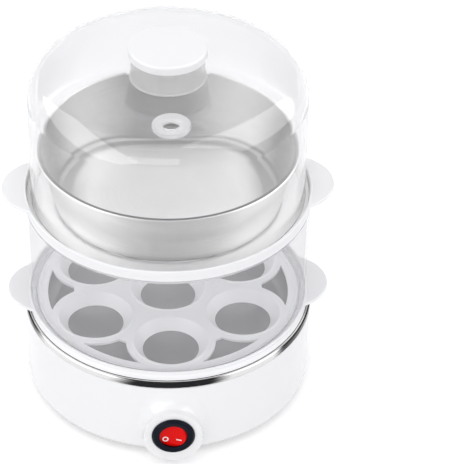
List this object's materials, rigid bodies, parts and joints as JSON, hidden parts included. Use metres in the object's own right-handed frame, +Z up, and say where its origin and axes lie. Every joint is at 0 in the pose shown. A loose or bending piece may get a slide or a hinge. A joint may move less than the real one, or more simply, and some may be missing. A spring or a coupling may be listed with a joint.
{
  "type": "egg cooker",
  "caption": "Round two-tier electric egg cooker: white base with a front rocker switch, steel water dish, egg trays, frosted steam ring, steel bowl and clear domed lid.",
  "frame": {"origin": "on the cooker's upright axis at floor level, under the feet", "axes": "+Z up along the axis, -Y towards the switch, +X to the right seen from the switch side"},
  "size_m": [0.192, 0.1904, 0.228],
  "materials": {
    "white_plastic": "glossy white moulding",
    "tray_plastic": "milky white, slightly translucent",
    "frosted_plastic": "frosted, light comes through",
    "clear_plastic": "clear moulding",
    "black_plastic": "semi-gloss black",
    "red_plastic": "glossy red",
    "stainless": "brushed stainless sheet",
    "zinc_steel": "zinc plated",
    "heater_steel": "oxidised heater tube",
    "brass": "plain",
    "rubber": "matt grey",
    "ceramic": "unglazed",
    "lead_brown": "wire insulation",
    "lead_blue": "wire insulation"
  },
  "bodies": {
    "base": {"base_housing": "white_plastic", "bottom_cover": "white_plastic", "foot_rear_right": "rubber", "foot_rear_left": "rubber", "foot_front_left": "rubber", "foot_front_right": "rubber", "cover_screw_1": "zinc_steel", "cover_screw_2": "zinc_steel", "cover_screw_3": "zinc_steel", "cover_screw_4": "zinc_steel", "heating_dish": "stainless", "dish_nut_1": "zinc_steel", "dish_nut_2": "zinc_steel", "dish_nut_3": "zinc_steel", "heating_element": "heater_steel", "thermostat": "ceramic", "thermostat_strap": "zinc_steel", "strap_nut_left": "zinc_steel", "strap_nut_right": "zinc_steel", "thermal_fuse": "zinc_steel", "switch_body": "black_plastic", "switch_terminal_left": "brass", "switch_terminal_right": "brass", "cord_gland": "white_plastic", "terminal_block": "ceramic", "lead_live": "lead_brown", "lead_switched": "lead_brown", "lead_heater": "lead_brown", "lead_neutral": "lead_blue", "lead_fused": "lead_blue"},
    "rocker": {"switch_rocker": "red_plastic"},
    "lower_tray": {"lower_tray": "tray_plastic"},
    "steam_ring": {"steam_ring": "frosted_plastic"},
    "upper_tray": {"upper_tray": "tray_plastic"},
    "bowl": {"steam_bowl": "stainless"},
    "lid": {"lid_dome": "clear_plastic", "knob_cap": "white_plastic", "knob_screw": "stainless", "knob_washer": "rubber"}
  },
  "joints": [
    {"name": "rocker_tilt", "type": "hinge", "parent": "base", "child": "rocker", "pos_m": [0, -0.09, 0.023], "axis": [0, 0, 1], "range_deg": [0, 16]},
    {"name": "lower_tray_lift", "type": "slide", "parent": "base", "child": "lower_tray", "axis": [0, 0, 1], "range_m": [0, 0.1]},
    {"name": "steam_ring_lift", "type": "slide", "parent": "lower_tray", "child": "steam_ring", "axis": [0, 0, 1], "range_m": [0, 0.1]},
    {"name": "upper_tray_lift", "type": "slide", "parent": "steam_ring", "child": "upper_tray", "axis": [0, 0, 1], "range_m": [0, 0.1]},
    {"name": "lid_lift", "type": "slide", "parent": "upper_tray", "child": "lid", "axis": [0, 0, 1], "range_m": [0, 0.16]},
    {"name": "bowl_lift", "type": "slide", "parent": "upper_tray", "child": "bowl", "axis": [0, 0, 1], "range_m": [0, 0.08]}
  ],
  "couplings": [
    {"joint": "bowl_lift", "follows": "lid_lift", "ratio": 0.5}
  ]
}
